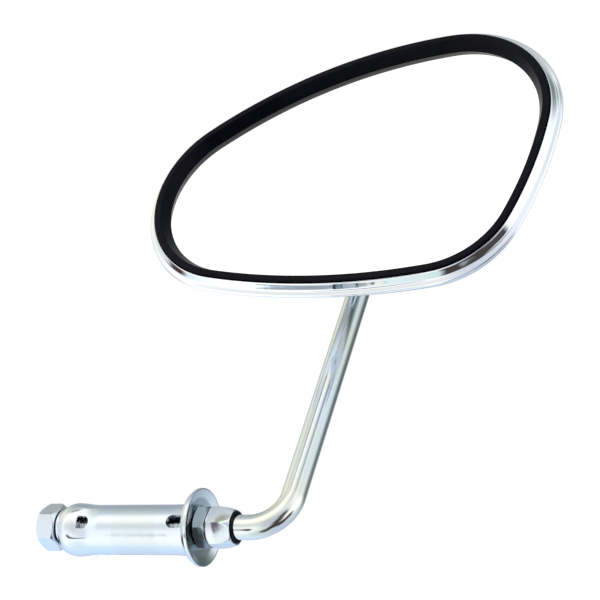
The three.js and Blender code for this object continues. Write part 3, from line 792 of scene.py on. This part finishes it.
# ------------------------------------------------------------------ mirror head
def build_housing():
    """The chrome shell as one skin: its flat back, the dome, the rolled rim and the inside again."""
    flat_back = SHELL_OVERHANG - DOME_INSET
    dome_depth = HOUSING_BACK - DOME_START
    back_steps, dome_steps, inside_steps = 8, 26, 16
    rings = [head_ring(flat_back, HOUSING_BACK, k / back_steps, BACK_CROWN) for k in range(1, back_steps + 1)]
    for k in range(1, dome_steps + 1):
        turn = math.radians(90 - 82 * k / dome_steps)
        offset = SHELL_OVERHANG - DOME_INSET * (1 - math.cos(turn))
        rings.append(head_ring(offset, DOME_START + dome_depth * math.sin(turn)))
    rim = [(1.86, 6.55), (2.15, 6.2), (2.65, 5.7), (3.15, 5.2), (3.45, 4.8), (3.58, 4.5), (3.55, 4.25),
           (3.35, 4.02), (3.0, 3.84), (2.5, 3.64), (2.1, 3.47), (1.85, 3.32), (1.68, 3.12), (1.52, 2.8),
           (1.2, 2.1), (0.95, 1.55), (0.75, 1.1), (0.6, 0.85), (0.45, 0.76), (0.34, 0.9), (0.3, 1.3),
           (0.3, 5.0), (0.3, 8.0), (0.0, 8.2), (-0.2, 8.5)]
    rings += [head_ring(offset, depth) for offset, depth in rim]
    for k in range(3, inside_steps + 1):
        turn = math.pi / 2 * k / inside_steps
        offset = SHELL_OVERHANG - SHELL_WALL - (DOME_INSET - SHELL_WALL) * (1 - math.cos(turn))
        rings.append(head_ring(offset, DOME_START + (dome_depth - SHELL_WALL) * math.sin(turn)))
    rings += [head_ring(flat_back, HOUSING_BACK - SHELL_WALL, 1 - k / 5) for k in range(1, 5)]
    housing = lofted(
        "housing_shell", rings,
        first_pole=head_pole(HOUSING_BACK + BACK_CROWN), last_pole=head_pole(HOUSING_BACK - SHELL_WALL),
        sharp_angle=60,
    )
    place(housing, "head", "housing_shell", chrome)


def build_trim():
    profile = [
        (0.0, TRIM_DEPTH, 0.2), (0.0, 0.0, 0.55), (-2.4, 0.0, 0.5), (-4.4, 3.75, 0.3), (-4.5, 4.05, 0.1),
        (-TRIM_WALL, 4.05, 0.1), (-TRIM_WALL, TRIM_DEPTH, 0.2),
    ]
    rings = [head_ring(offset, depth) for offset, depth in fillet(profile, 6)]
    trim = lofted("trim_ring", rings, close=True)
    place(trim, "head", "trim_ring", rubber)


def build_glass():
    face = GLASS_FRONT - GLASS_BEVEL
    rings = [head_ring(-GLASS_INSET, face, k / 10, -GLASS_CROWN) for k in range(1, 10)]
    rings += [head_ring(-GLASS_INSET - 0.4, face), head_ring(-GLASS_INSET, GLASS_FRONT)]
    rings += [head_ring(-GLASS_INSET, GLASS_BACK - 0.3), head_ring(-GLASS_INSET - 0.2, GLASS_BACK)]
    rings += [head_ring(-GLASS_INSET, GLASS_BACK, 1 - k / 5) for k in range(1, 5)]
    glass = lofted(
        "mirror_glass", rings, first_pole=head_pole(face - GLASS_CROWN), last_pole=head_pole(GLASS_BACK),
    )
    place(glass, "head", "mirror_glass", mirror)


def build_pad():
    edge = [(-4.0, 7.6), (-3.7, 8.2), (-3.6, 9.1), (-3.7, 10.0), (-4.2, PAD_BACK)]
    rings = [head_ring(-PAD_INSET, PAD_FRONT, k / 5) for k in range(1, 6)]
    rings += [head_ring(offset, depth) for offset, depth in edge]
    rings += [head_ring(-PAD_INSET, PAD_BACK, 1 - k / 5, PAD_CROWN) for k in range(1, 5)]
    pad = lofted(
        "glass_backing_pad", rings,
        first_pole=head_pole(PAD_FRONT), last_pole=head_pole(PAD_BACK + PAD_CROWN),
    )
    place(pad, "head", "glass_backing_pad", foam)


def dress_cad_nodes():
    """CAD nodes whose shape stays get their finish."""
    finishes = {
        "pivot_ball": steel, "ball_liner": nylon, "socket_base": chrome, "socket_cover": chrome,
        "reinforcing_plate": steel,
    }
    for side in ("inner", "outer"):
        finishes[f"clamp_screw_{side}"] = zinc
        finishes[f"lock_washer_{side}"] = zinc
        finishes[f"clamp_screw_nut_{side}"] = zinc
    for node, material in finishes.items():
        paint(frame["nodes"][node].data, material)


build_hex_nut()
build_cone()
build_sleeve()
build_washer()
build_jam_nut()
build_gland_nut()
build_seal_ring()
build_rod()
build_housing()
build_trim()
build_glass()
build_pad()
dress_cad_nodes()

# ------------------------------------------------------------------ camera
CAMERA_AZIMUTH = math.radians(24.6)
CAMERA_ELEVATION = math.radians(-7.8)
CAMERA_DISTANCE = 0.5287
CAMERA_ASIDE = 0.0328       # the aim point lies this far right of the handlebar's end
CAMERA_ABOVE = 0.0725       # and this far above it, in the picture plane
CAMERA_LENS = 99.5          # in millimetres, as is the sensor
SENSOR_WIDTH = 36


def add_camera():
    """Looks at the mirror from the rider's side, from the right and a little below."""
    back = Vector((
        math.sin(CAMERA_AZIMUTH) * math.cos(CAMERA_ELEVATION),
        -math.cos(CAMERA_AZIMUTH) * math.cos(CAMERA_ELEVATION),
        math.sin(CAMERA_ELEVATION),
    ))
    right = Vector((math.cos(CAMERA_AZIMUTH), math.sin(CAMERA_AZIMUTH), 0))
    up = back.cross(right)
    data = bpy.data.cameras.new("camera")
    data.lens = CAMERA_LENS
    data.sensor_width = SENSOR_WIDTH
    data.clip_start, data.clip_end = 0.01, 50
    camera = bpy.data.objects.new("camera", data)
    camera.location = right * CAMERA_ASIDE + up * CAMERA_ABOVE + back * CAMERA_DISTANCE
    camera.rotation_mode = "QUATERNION"
    camera.rotation_quaternion = (-back).to_track_quat("-Z", "Y")
    bpy.context.scene.collection.objects.link(camera)
    bpy.context.scene.camera = camera


add_camera()


# ------------------------------------------------------------------ light and floor
FLOOR_DROP = 0.045          # below the mirror's lowest point
FLOOR_SIZE = 6.0            # from its middle to its edges
LIGHT_DISTANCE = 0.9
# What the metal sees around it: (direction, tightness, colour).  The colours blend into each other.
SURROUNDINGS = (
    ((-0.50, -0.54, 0.68), 16, (1.35, 1.35, 1.35)),
    ((-0.15, -0.62, 0.77), 14, (1.30, 1.30, 1.28)),
    ((-0.51, 0.38, 0.77), 20, (0.30, 0.36, 0.43)),
    ((-0.51, -0.10, 0.85), 34, (0.50, 0.58, 0.64)),
    ((0.05, 0.45, 0.89), 12, (0.55, 0.60, 0.62)),
    ((-0.78, 0.16, 0.60), 22, (1.15, 1.12, 0.84)),
    ((-0.95, 0.1, 0.15), 12, (0.80, 0.84, 0.90)),
    ((0.62, -0.41, 0.67), 12, (1.15, 1.20, 1.28)),
    ((0.78, 0.20, 0.58), 18, (0.85, 1.00, 1.02)),
    ((0.62, 0.31, 0.72), 26, (0.46, 0.52, 0.62)),
    ((0.60, -0.72, 0.35), 20, (0.58, 0.64, 0.80)),
    ((0.36, -0.44, 0.82), 44, (0.44, 0.50, 0.62)),
    ((0.94, 0.20, 0.10), 12, (1.30, 1.32, 1.35)),
    ((0.52, 0.70, 0.48), 26, (0.10, 0.15, 0.12)),
    ((0.45, 0.88, 0.10), 24, (0.04, 0.06, 0.06)),
    ((0.43, 0.82, -0.37), 16, (0.50, 0.60, 0.68)),
    ((0.75, 0.53, -0.39), 16, (0.72, 0.84, 0.92)),
    ((-0.41, 0.90, 0.14), 14, (0.42, 0.46, 0.50)),
    ((-0.50, -0.84, -0.05), 14, (1.10, 1.16, 1.20)),
    ((-0.26, -0.79, 0.56), 12, (1.18, 1.15, 0.95)),
    ((0.36, -0.90, 0.05), 26, (0.62, 0.68, 0.86)),
    ((0.10, -0.92, 0.38), 26, (0.48, 0.54, 0.68)),
    ((-0.42, -0.86, 0.28), 34, (0.42, 0.48, 0.56)),
    ((-0.05, -0.47, -0.88), 18, (0.66, 0.82, 0.84)),
    ((-0.52, -0.62, -0.58), 14, (1.25, 1.27, 1.28)),
    ((-0.50, 0.40, -0.77), 14, (0.82, 1.00, 1.22)),
    ((-0.46, 0.69, -0.56), 14, (0.62, 0.74, 0.96)),
    ((0.50, 0.51, -0.70), 14, (0.60, 0.70, 0.92)),
)
# Darker things that stand in the room: (direction, reach in degrees, softness in degrees, colour).
DARK_THINGS = (
    ((0.70, -0.66, -0.27), 13, 5, (0.055, 0.045, 0.040)),
    ((0.58, -0.50, -0.64), 15, 3, (0.060, 0.050, 0.052)),
    ((0.28, -0.47, -0.84), 12, 3, (0.060, 0.052, 0.052)),
    ((-0.33, -0.86, -0.38), 9, 1, (0.105, 0.080, 0.125)),
    ((-0.94, 0.24, -0.24), 10, 4, (0.075, 0.052, 0.045)),
    ((0.78, -0.20, -0.59), 14, 4, (0.065, 0.055, 0.052)),
    ((0.72, -0.64, 0.08), 12, 5, (0.110, 0.100, 0.085)),
    ((-0.24, -0.22, 0.945), 4.5, 2.5, (0.26, 0.27, 0.19)),
    ((0.40, -0.12, 0.91), 6, 4, (0.20, 0.26, 0.25)),
    ((0.94, -0.07, -0.35), 12, 4, (0.070, 0.065, 0.080)),
)


def dot_with(nodes, links, where, direction):
    dot = nodes.new("ShaderNodeVectorMath")
    dot.operation = "DOT_PRODUCT"
    dot.inputs[1].default_value = Vector(direction).normalized()
    links.new(where, dot.inputs[0])
    return dot.outputs["Value"]


def blended_surroundings(nodes, links, where):
    """The weighted mean of the surroundings' colours, weighted by closeness in direction."""
    total, colour = None, None
    for direction, tightness, tint in SURROUNDINGS:
        near = math_node(nodes, links, "SUBTRACT", dot_with(nodes, links, where, direction), 1.0)
        weight = math_node(nodes, links, "EXPONENT", math_node(nodes, links, "MULTIPLY", near, tightness), 0)
        part = nodes.new("ShaderNodeVectorMath")
        part.operation = "SCALE"
        part.inputs[0].default_value = tint
        links.new(weight, part.inputs["Scale"])
        if colour is None:
            total, colour = weight, part.outputs[0]
            continue
        total = math_node(nodes, links, "ADD", total, weight)
        add = nodes.new("ShaderNodeVectorMath")
        links.new(colour, add.inputs[0])
        links.new(part.outputs[0], add.inputs[1])
        colour = add.outputs[0]
    share = nodes.new("ShaderNodeVectorMath")
    share.operation = "SCALE"
    links.new(colour, share.inputs[0])
    links.new(math_node(nodes, links, "DIVIDE", 1.0, total), share.inputs["Scale"])
    return share.outputs[0]


def with_dark_things(nodes, links, where, colour):
    """The colour with every dark thing over it, soft at its edge."""
    for direction, reach, softness, tint in DARK_THINGS:
        full = math.cos(math.radians(max(0.5, reach - softness)))
        end = math.cos(math.radians(reach + softness))
        share = add_range(nodes, links, dot_with(nodes, links, where, direction), end, full, 0, 1)
        colour = add_mix(nodes, links, share, colour, tint)
    return colour


def add_world():
    """The surroundings for all that is lit or reflected, and plain white where the camera sees past."""
    world = bpy.data.worlds.new("studio")
    bpy.context.scene.world = world
    world.use_nodes = True
    nodes, links = world.node_tree.nodes, world.node_tree.links
    nodes.clear()
    output = nodes.new("ShaderNodeOutputWorld")
    where = nodes.new("ShaderNodeTexCoord").outputs["Generated"]
    colour = with_dark_things(nodes, links, where, blended_surroundings(nodes, links, where))
    lit = nodes.new("ShaderNodeBackground")
    links.new(colour, lit.inputs["Color"])
    seen = nodes.new("ShaderNodeBackground")
    seen.inputs["Color"].default_value = (1, 1, 1, 1)
    path = nodes.new("ShaderNodeLightPath")
    choose = nodes.new("ShaderNodeMixShader")
    links.new(path.outputs["Is Camera Ray"], choose.inputs["Fac"])
    links.new(lit.outputs[0], choose.inputs[1])
    links.new(seen.outputs[0], choose.inputs[2])
    links.new(choose.outputs[0], output.inputs["Surface"])


def add_floor():
    """A pale sheet under the mirror.  Only the camera sees it: the metal sees the surroundings."""
    low, _ = cad_box
    size, height = FLOOR_SIZE, low.z - FLOOR_DROP
    corners = [(-size, -size, height), (size, -size, height), (size, size, height), (-size, size, height)]
    mesh = bpy.data.meshes.new("floor")
    mesh.from_pydata(corners, [], [(0, 1, 2, 3)])
    floor = bpy.data.objects.new("floor", mesh)
    bpy.context.scene.collection.objects.link(floor)
    floor.visible_glossy = False
    floor.visible_diffuse = False
    material, nodes, links, shader, where = node_material("floor", (0.95, 0.95, 0.95), 0.0, 0.9)
    cloud = add_noise(nodes, links, where, 3, 1.0)
    tint = add_ramp(nodes, links, cloud, [(0.3, (0.96, 0.97, 0.98)), (0.7, (0.99, 0.99, 0.99))])
    links.new(tint, shader.inputs["Base Color"])
    shader.inputs["Emission Color"].default_value = (1, 1, 1, 1)
    shader.inputs["Emission Strength"].default_value = 0.35
    mesh.materials.append(material)


def add_softbox(name, aim, towards, size, power, colour):
    """A rectangular light that faces the aim; the metal doesn't mirror it."""
    data = bpy.data.lights.new(name, "AREA")
    data.shape = "RECTANGLE"
    data.size, data.size_y = size
    data.energy = power
    data.color = colour
    light = bpy.data.objects.new(name, data)
    direction = Vector(towards).normalized()
    light.location = aim + direction * LIGHT_DISTANCE
    light.rotation_mode = "QUATERNION"
    light.rotation_quaternion = direction.to_track_quat("Z", "Y")
    light.visible_glossy = False
    bpy.context.scene.collection.objects.link(light)


def add_lights():
    low, high = cad_box
    aim = (low + high) / 2
    add_softbox("key", aim, (-0.6, -0.7, 0.9), (0.5, 0.5), 2.0, (1.0, 0.98, 0.95))
    add_softbox("fill", aim, (0.9, -0.6, 0.4), (0.4, 0.6), 1.2, (0.93, 0.97, 1.0))


add_world()
add_floor()
add_lights()
bpy.context.scene.view_settings.view_transform = "Standard"
